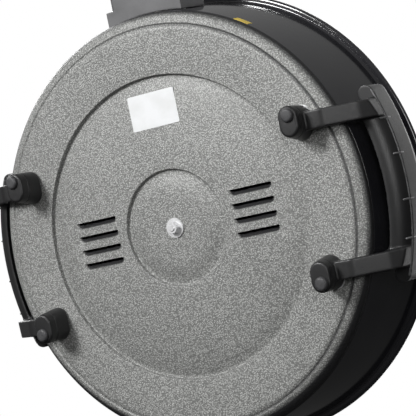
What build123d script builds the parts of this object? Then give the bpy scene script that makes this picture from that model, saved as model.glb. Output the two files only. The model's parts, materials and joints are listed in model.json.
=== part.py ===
from build123d import *
import math
import os

# Round electric pizza pan: a shallow die-cast pan on four feet with two side grips, a plug-in
# temperature control at the front and a glass lid. Millimetres. +Z is up, the pan's axis is the
# Z axis and the foot pads stand on z = 0. The grips are at +X and -X, the control is at -Y.

# ---- pan ----
RIM_R = 210.0                 # outside of the rolled rim
RIM_TOP = 130.0
RIM_LIP = 6.0                 # height of the rolled rim
MOUTH_R = 203.6               # inside of the rim, above the lid's seat
SEAT_Z = 125.0                # step that the lid rests on
SEAT_R = 200.4                # inner edge of that step
SKIRT_R = 195.5               # outside of the skirt at its lower edge
SKIRT_Z = 40.0                # lower edge of the skirt
WALL_TOP_R = 202.5            # outside of the wall just under the rim
SKIRT_WALL = 2.9
FLOOR_UNDER = 66.0
FLOOR_TOP = 71.0
FLOOR_R = 195.0               # cooking floor, to the sharp corner with the wall
FLOOR_FILLET = 9.0

# ---- bottom cover ----
COVER_Z = 30.0                # underside of its flat ring
SHEET = 1.2
LEAN = 0.72                   # how far a step's steep wall shifts outwards through the sheet
INNER_STEP = (38.0, 49.0, 52.2, 53.2)     # slope, groove and wall round the centre
OUTER_STEP = (124.0, 135.0, 137.8, 139.0)  # slope, groove and wall outside the slots
INNER_DEPTH = 3.0
OUTER_DEPTH = 3.5
EDGE_R = 183.5                # groove where the rounded edge starts
SLOT_LENGTH = 47.4
SLOT_WIDTH = 6.4
LOUVRE_DEPTH = 4.0
LOUVRE_GAP = 1.6              # open strip between a louvre's lip and its slot's front edge
SLOT_X = 85.1
SLOT_PITCH = 12.8

# ---- feet and handles ----
FOOT_X = 151.0
FOOT_Y = 67.4
FOOT_WIDTH = 18.5
FOOT_LENGTH = 27.0
FOOT_FLARE_X = 3.3            # how much wider a foot is at its top, all on its inner sides
FOOT_FLARE_Y = 3.9
PAD_X = 151.7
PAD_Y = 72.8
PAD_R = 6.2
PAD_HEIGHT = 3.0
PAD_STEM_R = 5.2
CAP_TOP = 12.0                # joint between a foot cap and its handle
SPACER = 1.0
FOOT_TOP = COVER_Z - SPACER
ARM_Y = (57.0, 73.0)
GRIP_IN = 206.0
GRIP_OUT = 222.0
GRIP_SEAM = 60.0
GRIP_TOP = 90.0
COVER_IN = 207.0              # inner face of the grip cover
GRIP_BOTTOM = 47.0
BAR_ANGLE = 19.9              # half the angle that the lower bar spans
COVER_ANGLE = 21.6            # half the angle between the centres of a grip cover's ends
WEB_X = (192.0, 203.0)        # rounded web in the corner between an arm and the bar
WEB_Y = (47.5, 57.5)
WEB_R = 9.5
PEG_ANGLES = (-14.0, 0.0, 14.0)
PEG_R = 3.0

# ---- fasteners ----
M5 = 2.5
M4 = 2.0
M3 = 1.5
M6 = 3.0
FIT = 0.1                     # radial room round a screw in its hole
HEAD_SEAT = 14.0              # seat of the handle screw's head in the foot block
HEAD_R = 4.6
HEAD_HEIGHT = 3.0
BOSS_R = 7.5                  # posts under the pan's floor that take the screws
WASHER_R = 9.0
NUT_ACROSS = 10.0
NUT_HEIGHT = 5.0

# ---- element and socket ----
ELEMENT_R = 120.0             # centre line of the heating ring
TUBE_R = 4.0
ELEMENT_Z = 61.9
LEG_X = 13.0                  # half the distance between the two terminal pins
BEND_R = 15.0
SHEATH_END = -184.0
SEAL_LENGTH = 5.0
PIN_R = 2.3
PIN_TIP = -226.0
PROBE_Z = 61.4
SLEEVE_R = 4.5
SLEEVE_BORE = 3.4
SLEEVE_IN = -118.0
SLEEVE_OUT = -206.0
BUSH_R = 6.5                  # ceramic bush round a terminal pin
BUSH_Z = FLOOR_UNDER - BUSH_R - 0.1
BUSH_ENDS = (-190.0, -201.0)
CLAMP_ANGLES = (0, 90, 180)
CLAMP_SCREW_R = (109.5, 130.5)
GUARD_BOTTOM = 50.0
GUARD_TOP = 91.0
GUARD_HALF = 35.0
FLANGE_HALF = 41.0
FLANGE_END = -208.0
GUARD_END = -240.0
GUARD_WALL = 2.5
GUARD_SCREW_X = (-38.0, 38.0)
GUARD_SCREW_Z = 58.0

# ---- plug-in control ----
CONTROL_START = -241.0
CONTROL_END = -332.0
CONTROL_HALF = 36.0
CONTROL_BOTTOM = 50.5
CONTROL_SPLIT = 70.0
CONTROL_TOP = 93.0
HOUSING_WALL = 2.4
NOSE_END = -210.0
NOSE_HALF = 31.0
NOSE_BOTTOM = 53.6
NOSE_TOP = 87.4
ROD_R = 3.0
ROD_TIP = -124.0
DIAL_Y = -290.0
DIAL_R = 22.0
DIAL_HEIGHT = 12.0
DIAL_GAP = 0.6
SHAFT_R = 3.0
DIAL_SKIRT = 3.0              # how far the dial's numbered skirt stands out
DIAL_FLUTES = 20
CONTROL_SCREWS = ((-31.5, -250.0), (31.5, -250.0), (-17.0, -325.0), (17.0, -325.0))
LAMP_Y = -256.0
LAMP_R = 3.5
INLET_R = 6.0
CONTACT_R = 3.7
CONTACT_BORE = 2.6
CONTACT_END = -236.0

# ---- lid ----
BAND_R = 203.0
BAND_IN = 192.0
BAND_GAP = 0.2                # between the lid's band and its seat
GLASS_R = 200.6
GLASS_EDGE_Z = 128.0
GLASS_RISE = 47.0
GLASS = 4.0
VENT_R = 92.0
VENT_BORE = 4.0
KNOB_R = 27.0
KNOB_HEIGHT = 24.0
KNOB_BASE_R = 23.0
KNOB_BASE_HEIGHT = 9.0

# ---- label and caution patch ----
LABEL_X = (-23.5, 27.5)
LABEL_Y = (-124.5, -92.5)
CAUTION_ANGLE = -58.0         # where the patch sits round the skirt, from +X


def outline(corners, radii=None):
    """Closed face in the XZ plane from (x, z) corners, each rounded to its radius."""
    points = [(x, 0, z) for x, z in corners]
    if radii is None:
        return make_face(Polyline(*points, close=True))
    return make_face(FilletPolyline(*points, radius=radii, close=True))


def turned(corners, radii=None):
    """Body of revolution about Z from (radius, height) corners."""
    return revolve(outline(corners, radii), Axis.Z)


def block(x, y, z):
    """Box from its limits along each axis."""
    centre = Pos((x[0] + x[1]) / 2, (y[0] + y[1]) / 2, (z[0] + z[1]) / 2)
    return centre * Box(x[1] - x[0], y[1] - y[0], z[1] - z[0])


def rod(radius, start, end):
    """Round bar from one point to another."""
    line = Vector(*end) - Vector(*start)
    place = Plane(origin=start, z_dir=line)
    bottom_centre = (Align.CENTER, Align.CENTER, Align.MIN)
    return place * Cylinder(radius, line.length, align=bottom_centre)


def post(radius, x, y, low, high):
    """Upright round bar."""
    return rod(radius, (x, y, low), (x, y, high))


def four_corners(x, y):
    """The four places that mirror one another in both axes."""
    return [(sx * x, sy * y) for sx in (1, -1) for sy in (-1, 1)]


def screw(shank, head, head_height, length, socket):
    """Pan-head screw, its head's underside at z = 0 and its shank up +Z, with a cross recess."""
    body = Cylinder(shank, length, align=(Align.CENTER, Align.CENTER, Align.MIN))
    cap = Pos(0, 0, -head_height) * Cylinder(
        head, head_height, align=(Align.CENTER, Align.CENTER, Align.MIN)
    )
    cap = fillet(cap.edges().sort_by(Axis.Z)[0], head_height * 0.45)
    cross = Pos(0, 0, -head_height) * (
        Box(socket * 2, socket * 0.5, head_height) + Box(socket * 0.5, socket * 2, head_height)
    )
    return body + cap - cross


def group(solids):
    """Several separate pieces that share one node."""
    return Compound(children=[s for part in solids for s in part.solids()])


# ---- pan and bottom cover ----

def wall_radius(z):
    """Outside radius of the pan's wall at a height."""
    share = (z - SKIRT_Z) / (RIM_TOP - RIM_LIP - 2 - SKIRT_Z)
    return SKIRT_R + share * (WALL_TOP_R - SKIRT_R)


def make_pan():
    rim_low = RIM_TOP - RIM_LIP
    corners = [
        (0, FLOOR_UNDER),
        (SKIRT_R - SKIRT_WALL - 1.5, FLOOR_UNDER),
        (SKIRT_R - SKIRT_WALL, SKIRT_Z),
        (SKIRT_R, SKIRT_Z),
        (WALL_TOP_R, rim_low - 2),
        (WALL_TOP_R + 1.2, rim_low),
        (RIM_R, rim_low),
        (RIM_R, RIM_TOP),
        (MOUTH_R, RIM_TOP),
        (MOUTH_R, SEAT_Z),
        (SEAT_R, SEAT_Z),
        (FLOOR_R, FLOOR_TOP),
        (0, FLOOR_TOP),
    ]
    radii = [0, 4, 0, 0, 0, 0, 2.7, 2.7, 1.0, 0, 0.8, FLOOR_FILLET, 0]
    pan = turned(corners, radii)
    for x, y in four_corners(PAD_X, PAD_Y):
        pan += post(BOSS_R, x, y, COVER_Z + SHEET, FLOOR_UNDER + 1)
    pan += post(BOSS_R, 0, 0, COVER_Z + SHEET, FLOOR_UNDER + 1)
    for x, y in four_corners(PAD_X, PAD_Y):
        pan -= post(M5 + FIT, x, y, COVER_Z, COVER_Z + 28)
    pan -= post(M6 + FIT, 0, 0, COVER_Z, COVER_Z + 26)
    for x, y in clamp_screw_places():
        pan -= post(M3 + FIT, x, y, FLOOR_UNDER - 1, FLOOR_TOP - 1.6)
    pan -= block((-24, 24), (-SKIRT_R - 6, -SKIRT_R + 12), (BUSH_Z - BUSH_R - 0.3, FLOOR_UNDER))
    for x in GUARD_SCREW_X:
        pan -= rod(M4 + FIT, (x, -RIM_R, GUARD_SCREW_Z), (x, 6 - SKIRT_R, GUARD_SCREW_Z))
    return pan


def cover_line(offset):
    """Points across the cover's sheet from its centre to its edge, offset up from the underside."""
    z = COVER_Z + offset
    r1, r2, r3, r4 = INNER_STEP
    s1, s2, s3, s4 = OUTER_STEP
    return [
        (r1, z),
        (r2, z + INNER_DEPTH),
        (r3 + offset * LEAN, z + INNER_DEPTH),
        (r4 + offset * LEAN, z),
        (s1, z),
        (s2, z + OUTER_DEPTH),
        (s3 + offset * LEAN, z + OUTER_DEPTH),
        (s4 + offset * LEAN, z),
        (EDGE_R - 2.2, z),
        (EDGE_R - 0.4, z + 1.0),
        (EDGE_R + 1.4, z + 0.6),
    ]


def make_louvre():
    """Flap pressed up behind a slot, joined to the sheet along the slot's back edge."""
    back = SLOT_WIDTH / 2
    lip = LOUVRE_GAP - back
    top = SHEET * 0.8
    corners = [
        (0, back + 0.6, 0.2),
        (0, back - 0.6, 0.0),
        (0, lip, LOUVRE_DEPTH - top),
        (0, lip, LOUVRE_DEPTH),
        (0, back, SHEET),
        (0, back + 0.6, SHEET),
    ]
    length = SLOT_LENGTH - SLOT_WIDTH
    flap = extrude(make_face(Polyline(*corners, close=True)), length, dir=(1, 0, 0))
    return Pos(-length / 2, 0, 0) * flap


def make_cover():
    under = cover_line(0)
    upper = cover_line(SHEET)
    edge = [
        (SKIRT_R - 4.0, COVER_Z + 3.6),
        (SKIRT_R - 0.6, SKIRT_Z - 3.0),
        (SKIRT_R - 0.1, SKIRT_Z),
        (SKIRT_R - 0.1 - SHEET, SKIRT_Z),
        (SKIRT_R - 0.9 - SHEET, SKIRT_Z - 2.6),
        (SKIRT_R - 4.8, COVER_Z + 4.8),
    ]
    bore = M6 + 0.4
    corners = [(bore, COVER_Z)] + under + edge + upper[::-1] + [(bore, COVER_Z + SHEET)]
    cover = turned(corners)
    slot = extrude(SlotOverall(SLOT_LENGTH, SLOT_WIDTH), SHEET * 3)
    louvre = make_louvre()
    for side in (1, -1):
        for row in (-1.5, -0.5, 0.5, 1.5):
            cover -= Pos(side * SLOT_X, row * SLOT_PITCH, COVER_Z - SHEET) * slot
            cover += Pos(side * SLOT_X, row * SLOT_PITCH, COVER_Z) * louvre
    for x, y in four_corners(PAD_X, PAD_Y):
        cover -= post(M5 + 0.4, x, y, COVER_Z - 1, COVER_Z + SHEET + 1)
    return cover


# ---- centre fixing ----

def make_centre_stud():
    stud = post(M6, 0, 0, COVER_Z - SHEET - NUT_HEIGHT - 0.8, COVER_Z + 25)
    return chamfer(stud.edges().sort_by(Axis.Z)[0], 0.6)


def make_centre_washer():
    low = COVER_Z - SHEET
    return post(WASHER_R, 0, 0, low, COVER_Z) - post(M6 + FIT, 0, 0, low - 1, COVER_Z + 1)


def make_centre_nut():
    high = COVER_Z - SHEET
    corner_r = NUT_ACROSS / math.sqrt(3)
    hexagon = extrude(RegularPolygon(corner_r, 6), NUT_HEIGHT)
    dome = turned([(0, 0), (corner_r - 1.0, 0), (corner_r + 0.2, 1.6), (corner_r + 0.2, 6), (0, 6)])
    nut = Pos(0, 0, high - NUT_HEIGHT) * (hexagon & dome)
    return nut - post(M6 + FIT, 0, 0, high - NUT_HEIGHT - 1, high + 1)


# ---- feet and handles ----

def foot_section(z):
    """Stadium-shaped section of the back right foot: it widens towards the pan's centre."""
    share = (z - PAD_HEIGHT) / (FOOT_TOP - PAD_HEIGHT)
    grow_x = share * FOOT_FLARE_X
    grow_y = share * FOOT_FLARE_Y
    plan = Rot(0, 0, 90) * SlotOverall(FOOT_LENGTH + grow_y, FOOT_WIDTH + grow_x)
    return Pos(FOOT_X - grow_x / 2, FOOT_Y - grow_y / 2, z) * plan


def foot_block(low, high):
    return loft([foot_section(low), foot_section(high)], ruled=True)


def to_corner(shape, x, y):
    """Moves a piece made for the back right foot to the foot at (x, y)."""
    if x < 0:
        shape = mirror(shape, about=Plane.YZ)
    if y < 0:
        shape = mirror(shape, about=Plane.XZ)
    return shape


def make_foot_cap(x, y):
    cap = foot_block(PAD_HEIGHT, CAP_TOP)
    cap = fillet(cap.faces().sort_by(Axis.Z)[0].edges(), 2.4)
    outer_x = FOOT_X + FOOT_WIDTH / 2
    for z in (PAD_HEIGHT + 3.6, PAD_HEIGHT + 6.2):
        cap -= block((outer_x - 1, outer_x + 1), (FOOT_Y - 7, FOOT_Y + 7), (z - 0.5, z + 0.5))
    cap -= post(PAD_STEM_R + FIT, PAD_X, PAD_Y, 0, CAP_TOP + 1)
    return to_corner(cap, x, y)


def make_foot_pad(x, y):
    """Rubber pad: a flattened dome that stands on the table, on a stem that plugs the cap."""
    dome = turned(
        [(0, 0), (PAD_R, 0), (PAD_R, PAD_HEIGHT), (PAD_STEM_R, PAD_HEIGHT),
         (PAD_STEM_R, CAP_TOP - 4.5), (0, CAP_TOP - 4.5)],
        [0, 2.6, 0, 0, 0.6, 0],
    )
    return Pos(x, y, 0) * dome


def make_handle_screws():
    one = screw(M5, HEAD_R, HEAD_HEIGHT, 40.0, 2.2)
    return group(Pos(x, y, HEAD_SEAT) * one for x, y in four_corners(PAD_X, PAD_Y))


def make_handle_spacers():
    rings = []
    for x, y in four_corners(PAD_X, PAD_Y):
        ring = post(8.0, x, y, FOOT_TOP, COVER_Z) - post(M5 + 0.4, x, y, FOOT_TOP - 1, COVER_Z + 1)
        rings.append(ring)
    return group(rings)


def make_arm():
    """One arm of the right handle: along under the cover, then up and round the pan's edge."""
    corners = [
        (FOOT_X, 16),
        (176, 16),
        (203, 36),
        (215, 49),
        (215, GRIP_SEAM),
        (193, GRIP_SEAM),
        (192, 43),
        (185.5, FOOT_TOP),
        (FOOT_X, FOOT_TOP),
    ]
    radii = [0, 14, 22, 5, 0, 0, 12, 5, 0]
    arm = extrude(outline(corners, radii), ARM_Y[1] - ARM_Y[0], dir=(0, 1, 0))
    arm = Pos(0, ARM_Y[0], 0) * arm
    limit = turned([(0, 0), (GRIP_OUT - 0.5, 0), (GRIP_OUT - 0.5, 70), (0, 70)])
    return arm & limit


def make_bar():
    """Lower half of the right grip: a curved bar with a rounded underside."""
    seam_r = GRIP_OUT - 0.5
    edges = [
        Line((GRIP_IN, 0, GRIP_BOTTOM), (GRIP_IN, 0, GRIP_SEAM)),
        Line((GRIP_IN, 0, GRIP_SEAM), (seam_r, 0, GRIP_SEAM)),
        ThreePointArc((seam_r, 0, GRIP_SEAM), (216.8, 0, 51.2), (GRIP_IN, 0, GRIP_BOTTOM)),
    ]
    bar = revolve(make_face(Curve() + edges), Axis.Z, revolution_arc=2 * BAR_ANGLE)
    return Rot(0, 0, -BAR_ANGLE) * bar


def peg_places():
    mid = (GRIP_IN + GRIP_OUT) / 2
    turns = [math.radians(a) for a in PEG_ANGLES]
    return [(mid * math.cos(t), mid * math.sin(t)) for t in turns]


def make_handle():
    """Right handle: two foot blocks, two arms and the lower half of the grip in one moulding."""
    handle = make_bar()
    for side in (1, -1):
        handle += to_corner(foot_block(CAP_TOP, FOOT_TOP) + make_arm(), 1, side)
        corner = block(WEB_X, sorted((side * WEB_Y[0], side * WEB_Y[1])), (48.0, GRIP_SEAM))
        handle += corner - post(WEB_R, WEB_X[0] - 1, side * WEB_Y[0], 40, 70)
    for side in (1, -1):
        handle -= post(M5 + 0.3, PAD_X, side * PAD_Y, CAP_TOP - 1, COVER_Z + 1)
        handle -= post(HEAD_R + 0.8, PAD_X, side * PAD_Y, CAP_TOP - 1, HEAD_SEAT)
    for x, y in peg_places():
        handle -= post(PEG_R + FIT, x, y, GRIP_SEAM - 5.5, GRIP_SEAM + 1)
    return handle


def make_grip_cover():
    """Upper half of the right grip, with pegs that press into the lower half."""
    middle = (COVER_IN + GRIP_OUT) / 2
    arc = CenterArc((0, 0), middle, -COVER_ANGLE, 2 * COVER_ANGLE)
    plan = Pos(0, 0, GRIP_SEAM) * SlotArc(arc, GRIP_OUT - COVER_IN)
    shell = extrude(plan, GRIP_TOP - GRIP_SEAM)
    shell = fillet(shell.faces().sort_by(Axis.Z)[-1].edges(), 6.0)
    for x, y in peg_places():
        shell += post(PEG_R, x, y, GRIP_SEAM - 5.0, GRIP_SEAM + 1)
    return shell


# ---- heating element and socket ----

def clamp_screw_places():
    places = []
    for angle in CLAMP_ANGLES:
        turn = math.radians(angle)
        places += [(r * math.cos(turn), r * math.sin(turn)) for r in CLAMP_SCREW_R]
    return places


def make_element():
    """Sheathed tube bent to a ring, its two ends turned out towards the socket."""
    bend_x = LEG_X + BEND_R
    bend_y = -math.sqrt((ELEMENT_R + BEND_R) ** 2 - bend_x ** 2)
    gap = math.degrees(math.asin(bend_x / (ELEMENT_R + BEND_R)))
    ring = CenterArc((0, 0, ELEMENT_Z), ELEMENT_R, gap - 90, 360 - 2 * gap)
    right = CenterArc((bend_x, bend_y, ELEMENT_Z), BEND_R, 180, gap - 90)
    left = CenterArc((-bend_x, bend_y, ELEMENT_Z), BEND_R, 0, 90 - gap)
    legs = [
        Line((x, SHEATH_END, ELEMENT_Z), (x, bend_y, ELEMENT_Z)) for x in (LEG_X, -LEG_X)
    ]
    path = Wire([legs[0].edge(), right.edge(), ring.edge(), left.edge(), legs[1].edge()])
    section = Plane(origin=(LEG_X, SHEATH_END, ELEMENT_Z), z_dir=(0, 1, 0)) * Circle(TUBE_R)
    return sweep(section, path)


def make_end_seals():
    seals = []
    for x in (LEG_X, -LEG_X):
        start = (x, SHEATH_END, ELEMENT_Z)
        end = (x, SHEATH_END - SEAL_LENGTH, ELEMENT_Z)
        seals.append(rod(TUBE_R - 0.4, start, end) - rod(PIN_R + 0.05, start, end))
    return group(seals)


def make_terminal_pins():
    pins = []
    for x in (LEG_X, -LEG_X):
        pin = rod(PIN_R, (x, SHEATH_END, ELEMENT_Z), (x, PIN_TIP, ELEMENT_Z))
        pins.append(fillet(pin.edges().sort_by(Axis.Y)[0], PIN_R * 0.8))
    return group(pins)


def make_terminal_bushes():
    """Ceramic bushes that carry the pins through the pan's skirt."""
    bushes = []
    for x in (LEG_X, -LEG_X):
        start = (x, BUSH_ENDS[0], BUSH_Z)
        end = (x, BUSH_ENDS[1], BUSH_Z)
        bush = rod(BUSH_R, start, end)
        hole = rod(PIN_R + 0.05, (x, -180, ELEMENT_Z), (x, -210, ELEMENT_Z))
        bushes.append(bush - hole)
    return group(bushes)


def make_probe_sleeve():
    sleeve = rod(SLEEVE_R, (0, SLEEVE_IN, PROBE_Z), (0, SLEEVE_OUT, PROBE_Z))
    return sleeve - rod(SLEEVE_BORE, (0, SLEEVE_IN - 3, PROBE_Z), (0, SLEEVE_OUT - 1, PROBE_Z))


def make_element_clamps():
    """Pressed straps that hold the tube up against the pan's floor."""
    top = FLOOR_UNDER
    low = ELEMENT_Z - TUBE_R - 0.1
    gap = TUBE_R + 0.2
    sheet = 1.4
    inner, outer = CLAMP_SCREW_R
    corners = [
        (inner - 5, top), (inner - 5, top - sheet),
        (ELEMENT_R - gap - sheet, top - sheet), (ELEMENT_R - gap - sheet, low - sheet),
        (ELEMENT_R + gap + sheet, low - sheet), (ELEMENT_R + gap + sheet, top - sheet),
        (outer + 5, top - sheet), (outer + 5, top),
        (ELEMENT_R + gap, top), (ELEMENT_R + gap, low),
        (ELEMENT_R - gap, low), (ELEMENT_R - gap, top),
    ]
    width = 14.0
    strap = Pos(0, -width / 2, 0) * extrude(outline(corners), width, dir=(0, 1, 0))
    for r in CLAMP_SCREW_R:
        strap -= post(M3 + FIT, r, 0, low - 5, top + 1)
    return group(Rot(0, 0, angle) * strap for angle in CLAMP_ANGLES)


def make_clamp_screws():
    one = screw(M3, 2.8, 1.8, 4.6, 1.3)
    return group(Pos(x, y, FLOOR_UNDER - 1.4) * one for x, y in clamp_screw_places())


def make_earth_contact():
    """Bent strip under the probe that touches the control's earth blade."""
    y0, y1 = -186.0, -224.0
    z = GUARD_BOTTOM + GUARD_WALL + 1.8
    corners = [
        (y0, z + 1.0), (y1 + 8, z + 1.0), (y1 + 4, z + 2.2), (y1, z + 0.9),
        (y1, z - 0.1), (y1 + 4, z + 1.2), (y1 + 8, z), (y0, z),
    ]
    face = make_face(Polyline(*[(0, y, h) for y, h in corners], close=True))
    return Pos(-4, 0, 0) * extrude(face, 8.0, dir=(1, 0, 0))


def outside_of_pan(room):
    """Solid of the pan's outer shape, grown by a clearance, that fittings are cut back to."""
    low_z, high_z = 20.0, 120.0
    corners = [(0, low_z), (wall_radius(low_z) + room, low_z)]
    corners += [(wall_radius(high_z) + room, high_z), (0, high_z)]
    return turned(corners)


def make_socket_guard():
    """Hood round the terminals, open at the front, on a flange that follows the pan's wall."""
    flange = block((-FLANGE_HALF, FLANGE_HALF), (FLANGE_END, -180), (GUARD_BOTTOM, GUARD_TOP))
    hood = block((-GUARD_HALF, GUARD_HALF), (GUARD_END, -200), (GUARD_BOTTOM, GUARD_TOP))
    along = hood.edges().filter_by(Axis.Y)
    hood = fillet(along, 4.0)
    inside = block(
        (-GUARD_HALF + GUARD_WALL, GUARD_HALF - GUARD_WALL),
        (GUARD_END - 1, FLANGE_END + 3),
        (GUARD_BOTTOM + GUARD_WALL, GUARD_TOP - GUARD_WALL),
    )
    inside = fillet(inside.edges().filter_by(Axis.Y), 2.0)
    window = block((-22, 22), (-212, -190), (GUARD_BOTTOM + GUARD_WALL, PROBE_Z + 9))
    guard = flange + hood - inside - window - outside_of_pan(0.5)
    for x in GUARD_SCREW_X:
        guard -= rod(M4 + 0.2, (x, FLANGE_END - 1, GUARD_SCREW_Z), (x, -190, GUARD_SCREW_Z))
    slit_x = GUARD_HALF - 4.6
    slit_z = (GUARD_BOTTOM - 1, GUARD_BOTTOM + 1)
    guard -= block((slit_x, slit_x + 1.2), (GUARD_END - 1, FLANGE_END), slit_z)
    return guard


def make_guard_screws():
    one = Rot(-90, 0, 0) * screw(M4, 2.8, 2.2, 16.0, 1.3)
    return group(Pos(x, FLANGE_END, GUARD_SCREW_Z) * one for x in GUARD_SCREW_X)


# ---- plug-in control ----

def control_shell():
    """Outer shape of the control: a nose that enters the guard and a tapered body."""
    nose = block((-NOSE_HALF, NOSE_HALF), (CONTROL_START - 2, NOSE_END), (NOSE_BOTTOM, NOSE_TOP))
    nose = fillet(nose.edges().filter_by(Axis.Y), 3.0)
    half_end = CONTROL_HALF - 9
    plan = make_face(FilletPolyline(
        (-CONTROL_HALF, CONTROL_START), (-CONTROL_HALF, -300), (-half_end, CONTROL_END),
        (half_end, CONTROL_END), (CONTROL_HALF, -300), (CONTROL_HALF, CONTROL_START),
        radius=[2, 12, 12, 12, 12, 2], close=True,
    ))
    body = extrude(Pos(0, 0, CONTROL_BOTTOM) * plan, CONTROL_TOP - CONTROL_BOTTOM)
    body = fillet(body.faces().sort_by(Axis.Z)[-1].edges(), 3.0)
    body = fillet(body.faces().sort_by(Axis.Z)[0].edges(), 3.0)
    return nose + body


def control_hollow():
    """Space inside the control's two housings."""
    wall = HOUSING_WALL
    nose = block(
        (-NOSE_HALF + wall, NOSE_HALF - wall),
        (CONTROL_START - 6, NOSE_END - wall),
        (NOSE_BOTTOM + wall, NOSE_TOP - wall),
    )
    body = block(
        (-CONTROL_HALF + wall + 7, CONTROL_HALF - wall - 7),
        (CONTROL_END + 14, CONTROL_START - wall),
        (CONTROL_BOTTOM + wall, CONTROL_TOP - wall),
    )
    return nose + body


def make_control_halves():
    shell = control_shell() - control_hollow()
    for x in (LEG_X, -LEG_X):
        shell -= rod(CONTACT_R + FIT, (x, NOSE_END + 10, ELEMENT_Z), (x, NOSE_END - 22, ELEMENT_Z))
    shell -= rod(ROD_R + FIT, (0, NOSE_END + 10, PROBE_Z), (0, NOSE_END - 6, PROBE_Z))
    shell -= block((-5, 5), (-228, -209), (GUARD_BOTTOM + 1, PROBE_Z - 4.0))
    shell -= post(SHAFT_R + 0.3, 0, DIAL_Y, 80, 100)
    shell -= post(LAMP_R + FIT, 0, LAMP_Y, 85, 100)
    inlet_start = (0, CONTROL_END + 20, CONTROL_SPLIT)
    shell -= rod(INLET_R + FIT, inlet_start, (0, CONTROL_END - 1, CONTROL_SPLIT))
    everywhere = (-60, 60), (-400, -190)
    lower = shell & block(*everywhere, (0, CONTROL_SPLIT))
    upper = shell & block(*everywhere, (CONTROL_SPLIT, 150))
    for x, y in CONTROL_SCREWS:
        lower -= post(M3 + 0.2, x, y, 0, CONTROL_SPLIT + 1)
        lower -= post(3.2, x, y, 0, CONTROL_BOTTOM + 2.2)
        upper -= post(M3 + FIT, x, y, CONTROL_SPLIT - 1, CONTROL_SPLIT + 10)
    return lower, upper


def make_control_screws():
    one = screw(M3, 2.8, 1.8, 26.0, 1.3)
    return group(Pos(x, y, CONTROL_BOTTOM + 2.2) * one for x, y in CONTROL_SCREWS)


def make_contact_sleeves():
    """Spring sleeves in the control's nose that take the terminal pins."""
    sleeves = []
    for x in (LEG_X, -LEG_X):
        front = (x, NOSE_END - 0.5, ELEMENT_Z)
        back = (x, CONTACT_END, ELEMENT_Z)
        bore = rod(CONTACT_BORE, (x, NOSE_END, ELEMENT_Z), (x, CONTACT_END + 3, ELEMENT_Z))
        sleeves.append(rod(CONTACT_R, front, back) - bore)
    return group(sleeves)


def make_probe_rod():
    probe = rod(ROD_R, (0, ROD_TIP, PROBE_Z), (0, -244, PROBE_Z))
    return fillet(probe.edges().sort_by(Axis.Y)[-1], ROD_R * 0.85)


def make_switch_block():
    """Bimetal switch on its ceramic base, driven by the dial's shaft and the probe rod."""
    base = block((-14, 14), (-304, -246), (PROBE_Z + 4, 76))
    tower = post(7.5, 0, DIAL_Y, 75, 82)
    bracket = block((-6, 6), (-258, -244), (PROBE_Z - 4, PROBE_Z + 5))
    socket = rod(ROD_R, (0, -240, PROBE_Z), (0, -244, PROBE_Z))
    return base + tower + bracket - socket


def make_pilot_lens():
    lens = post(LAMP_R, 0, LAMP_Y, CONTROL_TOP - HOUSING_WALL - 2, CONTROL_TOP + 1.5)
    lens += post(LAMP_R + 1.5, 0, LAMP_Y, CONTROL_TOP - HOUSING_WALL - 2, CONTROL_TOP - HOUSING_WALL)
    return fillet(lens.edges().sort_by(Axis.Z)[-1], 1.3)


def make_cord_inlet():
    """Open collar in the back of the control where a cord would be gripped."""
    outer = rod(INLET_R, (0, CONTROL_END + 8, CONTROL_SPLIT), (0, CONTROL_END - 8, CONTROL_SPLIT))
    lip = rod(INLET_R + 2, (0, CONTROL_END, CONTROL_SPLIT), (0, CONTROL_END - 3, CONTROL_SPLIT))
    bore = rod(3.6, (0, CONTROL_END + 9, CONTROL_SPLIT), (0, CONTROL_END - 9, CONTROL_SPLIT))
    return outer + lip - bore


def make_dial():
    low = CONTROL_TOP + DIAL_GAP
    skirt_r = DIAL_R + DIAL_SKIRT
    dial = turned(
        [(0, 0), (skirt_r, 0), (skirt_r, 2.6), (DIAL_R, 3.4), (DIAL_R - 1.5, DIAL_HEIGHT),
         (0, DIAL_HEIGHT)],
        [0, 0.6, 1.0, 0, 2.0, 0],
    )
    for n in range(DIAL_FLUTES):
        turn = 2 * math.pi * n / DIAL_FLUTES
        x, y = (DIAL_R + 0.8) * math.cos(turn), (DIAL_R + 0.8) * math.sin(turn)
        dial -= post(1.9, x, y, 3.6, DIAL_HEIGHT + 1)
    dial -= post(SHAFT_R + 0.02, 0, 0, -1, 7)
    return Pos(0, DIAL_Y, low) * dial


def make_dial_shaft():
    return post(SHAFT_R, 0, DIAL_Y, 82.3, CONTROL_TOP + DIAL_GAP + 6.5)


# ---- lid ----

def dome_height(r):
    """Height of the glass's outer face above its edge, at a radius."""
    sphere = (GLASS_R ** 2 + GLASS_RISE ** 2) / (2 * GLASS_RISE)
    return math.sqrt(sphere ** 2 - r ** 2) - (sphere - GLASS_RISE)


def make_lid_glass():
    half = GLASS_R / 2
    edge_r = GLASS_R - 4

    def face_point(r, lift):
        return (r, 0, GLASS_EDGE_Z + lift + dome_height(r))

    crown_out = face_point(M5 + 0.5, GLASS)
    crown_in = face_point(M5 + 0.5, 0)
    rim_out = face_point(edge_r, GLASS)
    rim_in = face_point(edge_r, 0)
    edges = [
        ThreePointArc(crown_out, face_point(half, GLASS), rim_out),
        Line(rim_out, rim_in),
        ThreePointArc(rim_in, face_point(half, 0), crown_in),
        Line(crown_in, crown_out),
    ]
    glass = revolve(make_face(Curve() + edges), Axis.Z)
    return glass - post(VENT_BORE + FIT, VENT_R, 0, GLASS_EDGE_Z, GLASS_EDGE_Z + GLASS_RISE + 10)


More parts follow.
